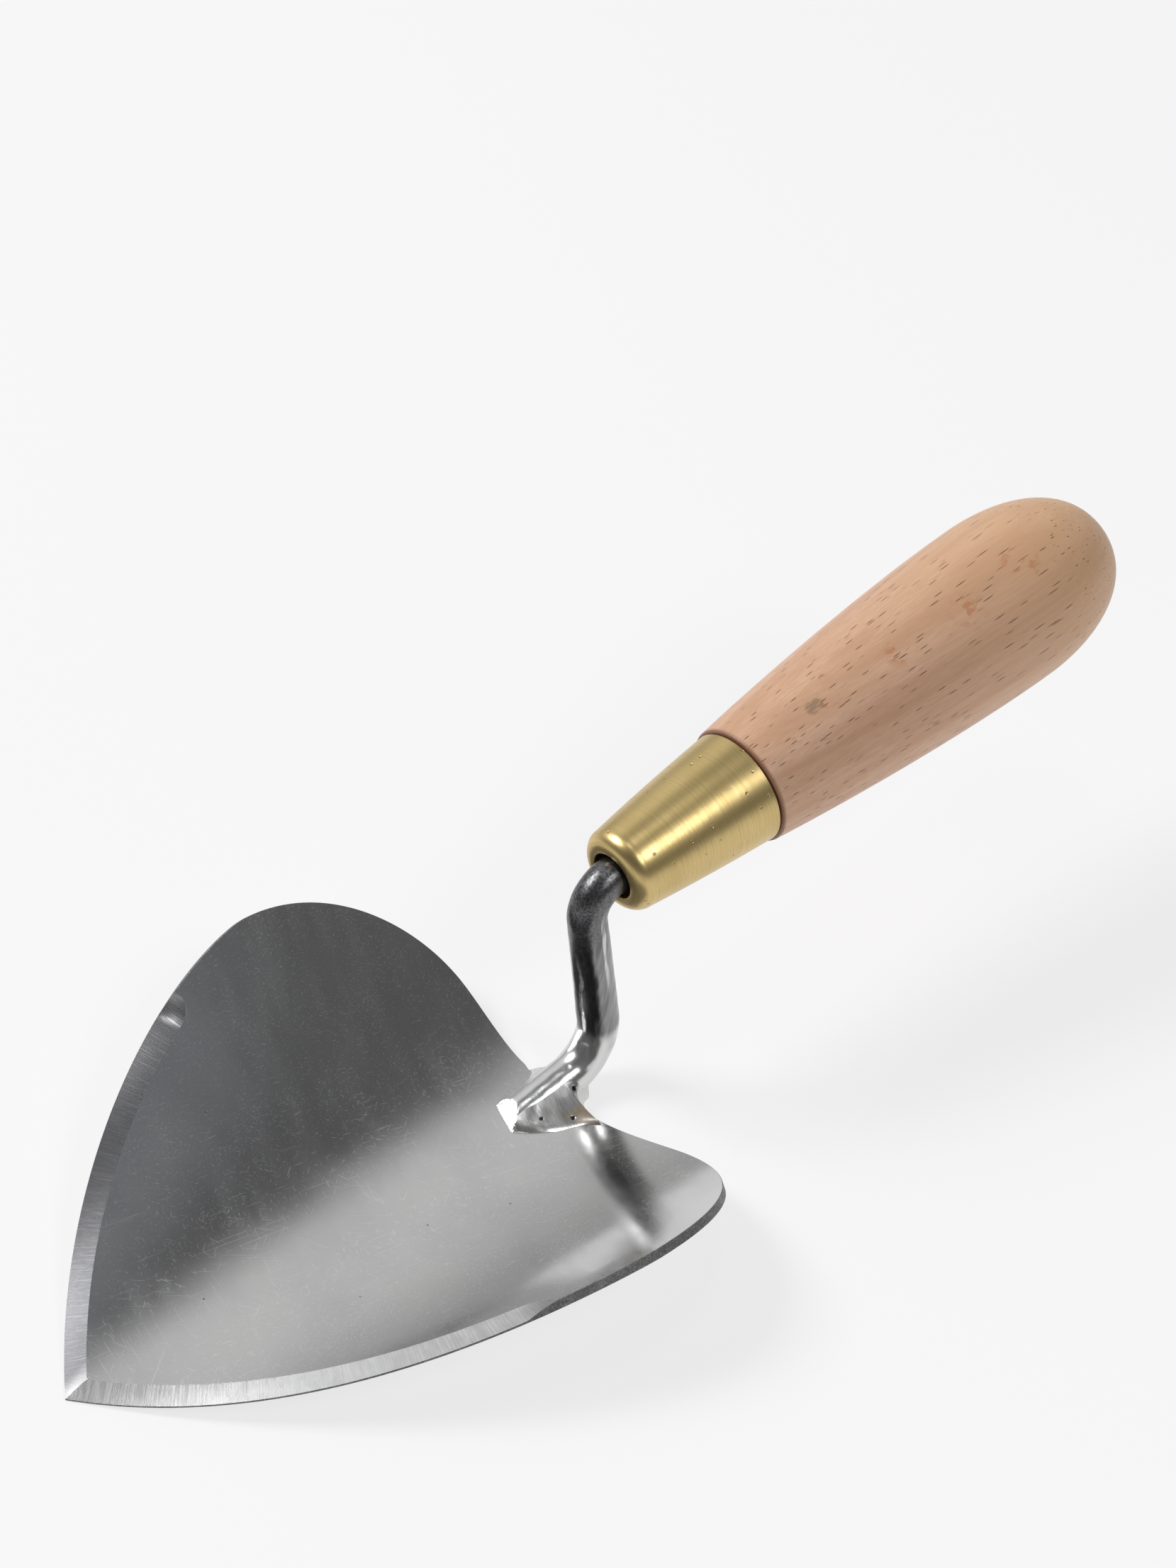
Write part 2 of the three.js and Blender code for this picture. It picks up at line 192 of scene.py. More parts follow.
def bezier(p0, p1, p2, p3, steps):
    t = np.linspace(0.0, 1.0, steps)[:, None]
    p0, p1, p2, p3 = (np.array(p, dtype=float) for p in (p0, p1, p2, p3))
    return ((1 - t) ** 3 * p0 + 3 * (1 - t) ** 2 * t * p1
            + 3 * (1 - t) * t ** 2 * p2 + t ** 3 * p3)


def even(points, count):
    """The same polyline with evenly spaced points."""
    length = np.concatenate([[0.0], np.cumsum(np.linalg.norm(np.diff(points, axis=0), axis=1))])
    at = np.linspace(0.0, length[-1], count)
    return np.stack([np.interp(at, length, points[:, k]) for k in range(points.shape[1])], 1)


# ------------------------------------------------------------------ blade

def arch_height(y):
    share = y / (BLADE_LENGTH - CLEFT_DEPTH)
    return 4.0 * BLADE_CAMBER * share * (1.0 - share)


def sheet_point(plan, depth):
    """Points of the sheet under plan points, at a depth square to the upper face."""
    x, y = plan[:, 0], plan[:, 1]
    stretch = (DISH_RADIUS + depth) / DISH_RADIUS
    rise = np.sqrt(DISH_RADIUS ** 2 - x * x)
    return np.stack([x * stretch, y, arch_height(y) + DISH_RADIUS - rise * stretch], 1)


def sheet_height(x, y, depth):
    return arch_height(y) + DISH_RADIUS - np.sqrt((DISH_RADIUS + depth) ** 2 - x * x)


def heart_outline(half_count):
    """The plan of the heart, from the tip up the right side to the cleft and back."""
    side = BLADE_WIDTH / 2
    lobe = LOBE_SPACING / 2
    reach = SIDE_FULLNESS * side
    widest = BLADE_LENGTH - LOBE_LENGTH
    cleft = BLADE_LENGTH - CLEFT_DEPTH
    turn = BLADE_LENGTH - CLEFT_TURN
    half = np.concatenate([
        bezier((0, 0), (reach, reach * math.tan(TIP_SLOPE)),
               (side, widest - LOBE_LENGTH * SIDE_RUN), (side, widest), 300),
        bezier((side, widest), (side, widest + LOBE_LENGTH * LOBE_SIDE_RUN),
               (lobe + (side - lobe) * LOBE_BACK_RUN, BLADE_LENGTH), (lobe, BLADE_LENGTH),
               200)[1:],
        bezier((lobe, BLADE_LENGTH), (lobe - CLEFT_SHOULDER * CLEFT_OUTER_RUN, BLADE_LENGTH),
               (CLEFT_SHOULDER * (1 + CLEFT_INNER_RUN), turn), (CLEFT_SHOULDER, turn), 100)[1:],
        bezier((CLEFT_SHOULDER, turn), (CLEFT_SHOULDER * 0.67, cleft + 0.4),
               (CLEFT_SHOULDER * 0.33, cleft), (0, cleft), 60)[1:],
    ])
    right = even(half, half_count)
    left = right[-2:0:-1] * np.array([-1.0, 1.0])
    return np.concatenate([right, left])


def inset(outline, width):
    """An outline moved inwards by a width of its own at each point."""
    before = outline - np.roll(outline, 1, axis=0)
    after = np.roll(outline, -1, axis=0) - outline
    before /= np.linalg.norm(before, axis=1)[:, None]
    after /= np.linalg.norm(after, axis=1)[:, None]
    inward = np.stack([-before[:, 1] - after[:, 1], before[:, 0] + after[:, 0]], 1)
    return outline + inward * (width / (1.0 + (before * after).sum(1)))[:, None]


def tip_depth(plan):
    """Depth of the two bevels where they meet at the tip, over plan points of the top face."""
    off = plan[:, 1] * math.cos(TIP_SLOPE) - abs(plan[:, 0]) * math.sin(TIP_SLOPE) - EDGE_BREAK
    whole = BLADE_THICKNESS - BEVEL_LAND
    return np.where(plan[:, 1] < 2 * BEVEL_WIDTH,
                    whole * np.clip(1.0 - off / BEVEL_WIDTH, 0.0, 1.0), 0.0)


def make_blade():
    outline = heart_outline(320)
    count = len(outline)
    y = outline[:, 1]
    arc = np.concatenate([[0.0], np.cumsum(np.linalg.norm(np.diff(outline, axis=0), axis=1))])
    from_tip = np.minimum(arc, arc[-1] + arc[1] - arc)
    spent = np.clip((y - BEVEL_REACH + BEVEL_RUN_OUT) / BEVEL_RUN_OUT, 0.0, 1.0)
    width = EDGE_BREAK + BEVEL_WIDTH * np.sqrt(1.0 - spent ** 2.4)
    width = np.minimum(width, 0.96 * from_tip / math.tan(TIP_SLOPE) + 0.02)
    depth = EDGE_BREAK + (BLADE_THICKNESS - BEVEL_LAND - EDGE_BREAK) * (1.0 - spent) ** 1.4
    bevel_line = inset(outline, width)
    middle = np.array([0.0, (BLADE_LENGTH - LOBE_LENGTH) * 0.8])
    shares = np.concatenate([np.linspace(0.985, 0.9, 7), np.linspace(0.86, 0.04, 22)])

    def shrunk(share):
        return middle + share * (bevel_line - middle)

    full = np.full(count, BLADE_THICKNESS)
    rings = [sheet_point(shrunk(share), full) for share in shares[::-1]]
    rings += [
        sheet_point(inset(outline, np.full(count, EDGE_BREAK)), full),
        sheet_point(outline, full - EDGE_BREAK),
    ]
    wall_start = len(rings) - 1
    for share in (0.5, 1.0):
        rings.append(sheet_point(outline, (full - EDGE_BREAK) * (1 - share) + depth * share))
    bevel_start = len(rings) - 1
    for share in (0.25, 0.5, 0.75, 1.0):
        plan = outline * (1 - share) + bevel_line * share
        rings.append(sheet_point(plan, depth * (1 - share) + tip_depth(bevel_line) * share))
    bevel_end = len(rings) - 1
    rings += [sheet_point(shrunk(share), tip_depth(shrunk(share))) for share in shares]
    points, faces = loft(rings)
    piece = new_piece("blade_sheet", points, faces, crease=9.0)

    # Material 0 is the polished face, 1 the ground bevel and 2 the rough edge of the sheet
    mesh = piece.data
    layer = mesh.uv_layers.new(name="edge_map")
    for polygon in mesh.polygons:
        ring = min(polygon.vertices) // count
        if ring >= len(rings) - 1 or len(polygon.vertices) < 4:
            continue
        if bevel_start <= ring < bevel_end:
            cut = spent[min(v % count for v in polygon.vertices)] < 0.999
            polygon.material_index = 1 if cut else 2
        elif wall_start <= ring < bevel_start:
            polygon.material_index = 2
        elif ring >= bevel_end:
            spot = np.array(polygon.center) / MM - PLACE
            polygon.material_index = int(tip_depth(spot[None, :2])[0] > 0.0)
        columns = [v % count for v in polygon.vertices]
        wraps = 0 in columns and count - 1 in columns
        for loop, vertex in zip(polygon.loop_indices, polygon.vertices):
            column = vertex % count
            along = arc[-1] if wraps and column == 0 else arc[column]
            layer.data[loop].uv = (along, float(vertex // count - bevel_start))
    return piece


# ------------------------------------------------------------------ neck

DRESSED_FLAT = 0.03            # how flat the four dressed sides are, as a share of the radius
HAMMER_DEPTH = 0.006           # the same for the marks of the hammer
TANG_TAPER = 0.3


def neck_path():
    """The centre line of the bar, as (y, z), with the radius and how much it is dressed flat."""
    start = HEEL_START - (FOOT_LENGTH + FOOT_RADIUS) * FOOT
    heel_centre = HEEL_START + HEEL_BEND * np.array([-FOOT[1], FOOT[0]])
    shoulder_start = SHOULDER_CORNER - SHOULDER_TANGENT * UPRIGHT
    shoulder_centre = shoulder_start + SHOULDER_BEND * np.array([UPRIGHT[1], -UPRIGHT[0]])

    def arc(centre, radius, first, last, steps):
        angles = np.linspace(first, last, steps)
        return centre + radius * np.stack([np.cos(angles), np.sin(angles)], 1)

    heel_first = FOOT_SLOPE - math.pi / 2
    heel_last = heel_first + math.acos(FOOT @ UPRIGHT)
    top_first = math.pi + CRANK_LEAN
    top_last = top_first - math.acos(UPRIGHT @ AXIS)
    line = np.concatenate([
        np.linspace(start, HEEL_START, 60)[:-1],
        arc(heel_centre, HEEL_BEND, heel_first, heel_last, 60),
        arc(shoulder_centre, SHOULDER_BEND, top_first, top_last, 60),
        np.linspace(NOSE, NOSE + TANG_LENGTH * AXIS, 20),
    ])
    return even(line, 420)


def make_neck(sides=72):
    path = neck_path()
    direction = np.gradient(path, axis=0)
    direction /= np.linalg.norm(direction, axis=1)[:, None]
    run = np.concatenate([[0.0], np.cumsum(np.linalg.norm(np.diff(path, axis=0), axis=1))])
    height = path[:, 1]
    upright = smoothstep(height, 9.0, 18.0) * (1 - smoothstep(height, 36.0, 46.0))
    past_nose = (path - NOSE) @ AXIS
    radius = FOOT_RADIUS + (NECK_RADIUS - FOOT_RADIUS) * smoothstep(height, 5.0, 44.0)
    radius = radius * (1 - TANG_TAPER * smoothstep(past_nose, 8.0, TANG_LENGTH))
    angle = np.linspace(0.0, 2 * math.pi, sides, endpoint=False)
    rings = []
    for place, along, r, dressed, travelled in zip(path, direction, radius, upright, run):
        facets = 1.0 + DRESSED_FLAT * dressed * np.cos(4 * (angle - 0.5))
        ripple = np.sin(travelled * 0.9 + 2 * angle) * np.sin(3 * angle + travelled * 0.4)
        hammer = 1.0 + HAMMER_DEPTH * ripple
        across = r * facets * hammer * np.cos(angle)
        rise = r * facets * hammer * np.sin(angle)
        rings.append(np.stack([
            across, place[0] - along[1] * rise, place[1] + along[0] * rise], 1))
    points, faces = loft(rings)
    y = points[:, 1]
    over_blade = y < BLADE_LENGTH - CLEFT_DEPTH + 0.3
    on_sheet = sheet_height(points[:, 0], y, SEAT_DEPTH)
    floor = np.where(over_blade, on_sheet, -BLADE_THICKNESS)
    low = points[:, 2] < 20.0
    top = facet_height(points[:, 0], y)
    near = low & (y < BLADE_LENGTH - FOOT_RADIUS)
    points[:, 2] = np.where(near, np.minimum(points[:, 2], top), points[:, 2])
    points[:, 2] = np.where(low, np.maximum(points[:, 2], floor), points[:, 2])
    piece = new_piece("neck_bar", points, faces, crease=28.0)

    # Degrees round the bar from its right side over its front, and millimetres along it
    layer = piece.data.uv_layers.new(name="bar_map")
    for polygon in piece.data.polygons:
        columns = [v % sides for v in polygon.vertices]
        wraps = 0 in columns and sides - 1 in columns
        for loop, vertex in zip(polygon.loop_indices, polygon.vertices):
            column = sides if wraps and vertex % sides == 0 else vertex % sides
            turned = 360.0 * column / sides
            row = min(vertex // sides, len(run) - 1)
            layer.data[loop].uv = (turned, run[row])
    return piece


# ------------------------------------------------------------------ welds

WELD_NOSE = 2.6                # half-width of the mound at the front of the foot
WELD_MOUND = 8.0               # what the mound gains behind that
WELD_FLARE = 3.5               # what it gains again at the back of the blade
WELD_TAIL = 5.6                # how far it runs out behind the blade
WELD_FLARE_PLACE = 0.85        # where that starts, as a share of the depth of the cleft
WELD_CLIMB = 80.0              # degrees round the bar that it climbs at the front,
WELD_CLIMB_LOSS = 24.0         # what it loses on the way back
WELD_TAIL_LOSS = 20.0          # and over its tail
WELD_SHOULDER = 0.78           # how full it is at the bar, and
WELD_TOE_RUN = 0.16            # how it comes down to the sheet, as shares of its width
WELD_TOE_RISE = 0.12
FOOT_SKEW = 0.38               # how far the end facet is turned towards the left


def facet_height(x, y):
    """Height of the ground facet on the end of the foot."""
    return sheet_height(x, y, 0.0) + math.tan(FOOT_CHAMFER) * (y - FOOT_FRONT + FOOT_SKEW * x)


def bar_height(y):
    """Height of the middle of the bar over y, along the foot and round the heel."""
    centre = HEEL_START + HEEL_BEND * np.array([-FOOT[1], FOOT[0]])
    if y <= HEEL_START[0]:
        return HEEL_START[1] + (y - HEEL_START[0]) * FOOT[1] / FOOT[0]
    return centre[1] - math.sqrt(HEEL_BEND ** 2 - (y - centre[0]) ** 2)


def make_weld(name, side, breadth):
    """A mound that runs from the crown of the bar down to a feathered toe on the sheet."""
    flare_start = BLADE_LENGTH - CLEFT_DEPTH * WELD_FLARE_PLACE
    front = FOOT_FRONT - 1.0
    end = flare_start + WELD_TAIL
    widest = WELD_NOSE + breadth * (WELD_MOUND + WELD_FLARE)
    rings = []
    for y in np.linspace(front, end, 240):
        share = min(1.0, (y - front) / (flare_start - front))
        tail = max(0.0, (y - flare_start) / WELD_TAIL)
        if tail == 0.0:
            swell = WELD_MOUND * (1 - (1 - share) ** 3.2) + WELD_FLARE * share ** 6
            toe = WELD_NOSE + breadth * swell
        else:
            toe = FOOT_RADIUS + (widest - FOOT_RADIUS) * (1 - math.sqrt(1 - (1 - tail) ** 2))
        climb = math.radians(WELD_CLIMB - WELD_CLIMB_LOSS * share - WELD_TAIL_LOSS * tail)
        radius = FOOT_RADIUS * 0.985
        crown = np.array([radius * math.cos(climb), bar_height(y) + radius * math.sin(climb)])
        edge = np.array([toe, float(sheet_height(toe, y, 0.0)) + 0.01])
        span = max(0.5, toe - crown[0])
        leave = crown + WELD_SHOULDER * span * np.array([math.sin(climb), -math.cos(climb)])
        land = edge + span * np.array([-WELD_TOE_RUN, WELD_TOE_RISE])
        slope = bezier(edge, land, leave, crown, 64)
        depth = SEAT_DEPTH + (BLADE_THICKNESS - SEAT_DEPTH - 0.04) * float(
            smoothstep(y, BLADE_LENGTH - CLEFT_DEPTH - 1.5, BLADE_LENGTH - CLEFT_DEPTH))
        inner = FOOT_RADIUS * 0.12
        under = [np.array([x, max(float(sheet_height(x, y, depth)), 0.02 - BLADE_THICKNESS)])
                 for x in np.linspace(inner, toe, 6)]
        section = np.array(under + list(slope) + [np.array([inner, crown[1] - 0.2])])
        if tail == 0.0:
            lid = facet_height(side * section[:, 0], y) - 0.05
            section[:, 1] = np.minimum(section[:, 1], np.maximum(lid, section[:6, 1].mean() + 0.1))
        rings.append(np.stack([side * section[:, 0], np.full(len(section), y), section[:, 1]], 1))
    points, faces = loft(rings)
    return new_piece(name, points, faces, crease=50.0)


# ------------------------------------------------------------------ ferrule and handle

def turn(profile, sides):
    """A closed or axis-to-axis profile, as (radius, distance from the nose), turned."""
    angle = np.linspace(0.0, 2 * math.pi, sides, endpoint=False)
    rings = []
    for radius, along in profile:
        middle = NOSE + along * AXIS
        rise = radius * np.sin(angle)
        rings.append(np.stack([radius * np.cos(angle), middle[0] - AXIS[1] * rise,
                               middle[1] + AXIS[0] * rise], 1))
    return rings


def map_turned(piece, sides, profile):
    """A UV map with the distance round the piece and along its axis, in millimetres."""
    layer = piece.data.uv_layers.new(name="turned_map")
    mean = float(np.mean([radius for radius, _ in profile]))
    for polygon in piece.data.polygons:
        columns = [v % sides for v in polygon.vertices]
        wraps = 0 in columns and sides - 1 in columns
        for loop, vertex in zip(polygon.loop_indices, polygon.vertices):
            column = vertex % sides
            share = (sides if wraps and column == 0 else column) / sides
            row = min(vertex // sides, len(profile) - 1)
            layer.data[loop].uv = (share * 2 * math.pi * mean, profile[row][1])


def ferrule_radius(along):
    share = along / FERRULE_LENGTH
    return (FERRULE_NOSE_RADIUS + (FERRULE_MOUTH_RADIUS - FERRULE_NOSE_RADIUS) * share
            + 4 * FERRULE_BULGE * share * (1 - share))


def make_ferrule(sides=160):
    lip_middle = ferrule_radius(FERRULE_LIP) - FERRULE_LIP
    lip = [(lip_middle + FERRULE_LIP * math.sin(a), FERRULE_LIP * (1 - math.cos(a)))
           for a in np.linspace(0.0, math.pi / 2, 16)]
    taper = [(float(ferrule_radius(s)), s)
             for s in np.linspace(FERRULE_LIP + 0.8, FERRULE_LENGTH - 0.25, 48)]
    inside = [(max(TANG_HOLE_RADIUS, float(ferrule_radius(s)) - FERRULE_WALL), s)
              for s in np.linspace(FERRULE_LENGTH, FERRULE_LIP, 12)]
    profile = ([(TANG_HOLE_RADIUS, 0.35), (TANG_HOLE_RADIUS + 0.12, 0.08)] + lip + taper
               + [(float(ferrule_radius(FERRULE_LENGTH)) - 0.2, FERRULE_LENGTH)] + inside
               + [(TANG_HOLE_RADIUS, FERRULE_WALL)])
    rings = turn(profile, sides)
    points = np.concatenate(rings)
    faces = ring_faces(len(rings), sides)
    last = (len(rings) - 1) * sides
    faces += [(last + i, last + (i + 1) % sides, (i + 1) % sides, i) for i in range(sides)]
    piece = new_piece("ferrule_shell", points, faces, crease=40.0)
    map_turned(piece, sides, profile)
    return piece


def make_handle(sides=160):
    shoulder = FERRULE_LENGTH + WOOD_GAP
    radius = FERRULE_MOUTH_RADIUS + WOOD_STEP
    butt = FERRULE_LENGTH + WOOD_LENGTH
    bulb = butt - BULB_LENGTH
    corner = [(radius - WOOD_STEP * (1 - math.sin(a)), shoulder + WOOD_STEP * (1 - math.cos(a)))
              for a in np.linspace(0.0, math.pi / 2, 8)]
    swell = bezier((radius, shoulder + WOOD_STEP),
                   (radius + (BULB_RADIUS - radius) * NECKED_SWELL,
                    shoulder + (bulb - shoulder) * NECKED_RUN),
                   (BULB_RADIUS, bulb - (bulb - shoulder) * BULB_RUN), (BULB_RADIUS, bulb), 70)[1:]
    dome = bezier((BULB_RADIUS, bulb), (BULB_RADIUS, bulb + BULB_LENGTH * DOME_RUN),
                  (BULB_RADIUS * DOME_SPREAD, butt), (BUTT_FLAT_RADIUS, butt), 60)[1:]
    spigot = [(float(ferrule_radius(s)) - FERRULE_WALL - WOOD_GAP, s)
              for s in np.linspace(SPIGOT_SETBACK, FERRULE_LENGTH, 10)]
    bore = NECK_RADIUS + WOOD_GAP
    profile = ([(bore, TANG_LENGTH + WOOD_GAP), (bore, SPIGOT_SETBACK)] + spigot
               + [(spigot[-1][0], shoulder)] + corner
               + [tuple(p) for p in swell] + [tuple(p) for p in dome])
    rings = turn(profile, sides)
    points, faces = loft(rings)
    piece = new_piece("handle_wood", points, faces, crease=32.0)
    map_turned(piece, sides, profile)
    return piece


# ------------------------------------------------------------------ materials

class Finish:
    """A procedural material, built from small steps over the piece's own millimetres."""

    def __init__(self, name):
        self.material = bpy.data.materials.new(name)
        self.material.use_nodes = True
        self.tree = self.material.node_tree
        self.shader = self.tree.nodes["Principled BSDF"]
        place = self.node("ShaderNodeTexCoord").outputs["Object"]
        self.place = self.vector("SCALE", place, scale=1.0 / MM)

    def node(self, kind, **settings):
        made = self.tree.nodes.new(kind)
        for key, value in settings.items():
            setattr(made, key, value)
        return made

    def put(self, socket, value):
        if isinstance(value, bpy.types.NodeSocket):
            self.tree.links.new(value, socket)
        elif isinstance(value, (tuple, list)) and len(value) == 3 and socket.type == "RGBA":
            socket.default_value = (*value, 1.0)
        else:
            socket.default_value = value

    def vector(self, operation, a, b=None, scale=None):
        node = self.node("ShaderNodeVectorMath", operation=operation)
        self.put(node.inputs[0], a)
        if b is not None:
            self.put(node.inputs[1], b)
        if scale is not None:
            node.inputs["Scale"].default_value = scale
        return node.outputs["Value" if operation in ("DOT_PRODUCT", "DISTANCE") else "Vector"]

    def mapped(self, scale=(1.0, 1.0, 1.0), turn=(0.0, 0.0, 0.0), source=None):
        """The place turned and then stretched, so that a streak runs along a chosen line."""
        turned = self.node("ShaderNodeMapping", vector_type="POINT")
        self.put(turned.inputs["Vector"], source or self.place)
        turned.inputs["Rotation"].default_value = turn
        return self.vector("MULTIPLY", turned.outputs["Vector"], scale)

    def noise(self, where=None, scale=1.0, detail=2.0, roughness=0.5):
        node = self.node("ShaderNodeTexNoise")
        self.put(node.inputs["Vector"], where or self.place)
        node.inputs["Scale"].default_value = scale
        node.inputs["Detail"].default_value = detail
        node.inputs["Roughness"].default_value = roughness
        return node.outputs["Fac"]

    def cells(self, where=None, scale=1.0):
        """Distance to the nearest of scattered spots, and a number of its own for each spot."""
        node = self.node("ShaderNodeTexVoronoi")
        self.put(node.inputs["Vector"], where or self.place)
        node.inputs["Scale"].default_value = scale
        parts = self.node("ShaderNodeSeparateColor")
        self.put(parts.inputs[0], node.outputs["Color"])
        return node.outputs["Distance"], parts.outputs["Red"]

    def span(self, value, low, high, to_low=0.0, to_high=1.0):
        node = self.node("ShaderNodeMapRange", interpolation_type="SMOOTHSTEP")
        self.put(node.inputs["Value"], value)
        for key, number in (("From Min", low), ("From Max", high),
                            ("To Min", to_low), ("To Max", to_high)):
            self.put(node.inputs[key], number)
        return node.outputs["Result"]

    def maths(self, operation, a, b=0.0):
        node = self.node("ShaderNodeMath", operation=operation)
        self.put(node.inputs[0], a)
        self.put(node.inputs[1], b)
        return node.outputs["Value"]

    def mix(self, share, a, b):
        node = self.node("ShaderNodeMix", data_type="RGBA")
        self.put(node.inputs[0], share)
        self.put(node.inputs[6], a)
        self.put(node.inputs[7], b)
        return node.outputs[2]

    def bump(self, height, depth, before=None):
        """Surface relief of a depth in millimetres."""
        node = self.node("ShaderNodeBump")
        self.put(node.inputs["Height"], height)
        node.inputs["Distance"].default_value = depth * MM
        if before is not None:
            self.put(node.inputs["Normal"], before)
        return node.outputs["Normal"]

    def near(self, point, reach, soft=0.5):
        """1 at a place on the trowel, falling to 0 at a distance."""
        where = tuple(float(v) for v in np.asarray(point) + PLACE)
        away = self.vector("DISTANCE", self.place, where)
        return self.span(away, reach * (1 - soft), reach, 1.0, 0.0)

    def axis(self, which):
        node = self.node("ShaderNodeSeparateXYZ")
        self.put(node.inputs[0], self.place)
        return node.outputs[which]

    def finish(self, **sockets):
        for key, value in sockets.items():
            self.put(self.shader.inputs[key.replace("_", " ")], value)
        return self.material


def scratches(f, turns, fine, run, share):
    """Thin straight marks along several directions of the flat of the blade, from 0 to 1."""
    total = None
    for number, turn in enumerate(turns):
        where = f.mapped((fine, run, fine), (0.0, 0.0, math.radians(turn)))
        where = f.vector("ADD", where, (17.0 * number, 5.0, 3.0 * number))
        mark = f.span(f.noise(where, detail=0.0), 1.0 - share, 1.0 - share + 0.06)
        total = mark if total is None else f.maths("MAXIMUM", total, mark)
    return total


def polished_steel():
    f = Finish("polished_steel")
    cloud = f.noise(scale=0.035, detail=3.0, roughness=0.55)
    smear = f.noise(f.mapped((0.05, 0.2, 0.05), (0.0, 0.0, 0.4)), detail=3.0)
    grain = f.noise(f.mapped((4.0, 0.6, 4.0), (0.0, 0.0, -0.5)), detail=2.0)
    marks = scratches(f, (12, 68, -35, -74, 103, 41), 5.0, 0.05, 0.24)
    spots, own = f.cells(scale=0.14)
    pit = f.maths("MULTIPLY", f.span(spots, 0.02, 0.05, 1.0, 0.0), f.span(own, 0.72, 0.78))
    colour = f.mix(f.span(cloud, 0.3, 0.7), (0.53, 0.53, 0.535), (0.59, 0.59, 0.585))
    colour = f.mix(f.maths("MULTIPLY", marks, 0.42), colour, (0.86, 0.86, 0.86))
    colour = f.mix(f.maths("MULTIPLY", pit, 0.6), colour, (0.14, 0.14, 0.14))
    rough = f.maths("ADD", f.span(smear, 0.3, 0.75, 0.13, 0.19), f.maths("MULTIPLY", marks, 0.08))
    relief = f.bump(f.noise(scale=0.05, detail=0.0), 0.18)
    relief = f.bump(grain, 0.0006, relief)
    relief = f.bump(f.maths("SUBTRACT", 1.0, pit), 0.03, relief)
    relief = f.bump(marks, 0.0015, relief)
    return f.finish(Base_Color=colour, Metallic=1.0, Roughness=rough, Normal=relief)


def ground_steel():
    f = Finish("ground_steel")
    edge = f.node("ShaderNodeUVMap", uv_map="edge_map").outputs["UV"]
    lines = f.noise(f.vector("MULTIPLY", edge, (2.6, 0.12, 1.0)), detail=3.0, roughness=0.6)
    wander = f.noise(f.vector("MULTIPLY", edge, (0.35, 0.3, 1.0)), detail=2.0)
    marks = f.span(lines, 0.36, 0.66)
    colour = f.mix(marks, (0.56, 0.56, 0.56), (0.72, 0.72, 0.715))
    colour = f.mix(f.span(wander, 0.35, 0.7, 0.0, 0.4), colour, (0.46, 0.46, 0.465))
    # Painted shade: the bevel on the left half of the blade is painted darker, standing in for the
    # dark reflection it shows.
    left = f.mix(f.span(lines, 0.5, 0.68), (0.24, 0.24, 0.25), (0.42, 0.42, 0.425))
    colour = f.mix(f.span(f.axis(0), -4.0, 0.0, 1.0, 0.0), colour, left)
    rough = f.span(lines, 0.3, 0.7, 0.30, 0.22)
    return f.finish(Base_Color=colour, Metallic=1.0, Roughness=rough,
                    Normal=f.bump(lines, 0.006))


def raw_edge():
    f = Finish("raw_edge")
    sand = f.noise(scale=2.6, detail=4.0, roughness=0.7)
    patch = f.noise(scale=0.3, detail=2.0)
    colour = f.mix(f.span(sand, 0.35, 0.7), (0.12, 0.12, 0.125), (0.27, 0.27, 0.27))
    colour = f.mix(f.span(patch, 0.5, 0.7, 0.0, 0.45), colour, (0.34, 0.34, 0.34))
    return f.finish(Base_Color=colour, Metallic=0.75, Roughness=f.span(sand, 0.3, 0.7, 0.62, 0.42),
                    Normal=f.bump(sand, 0.10))


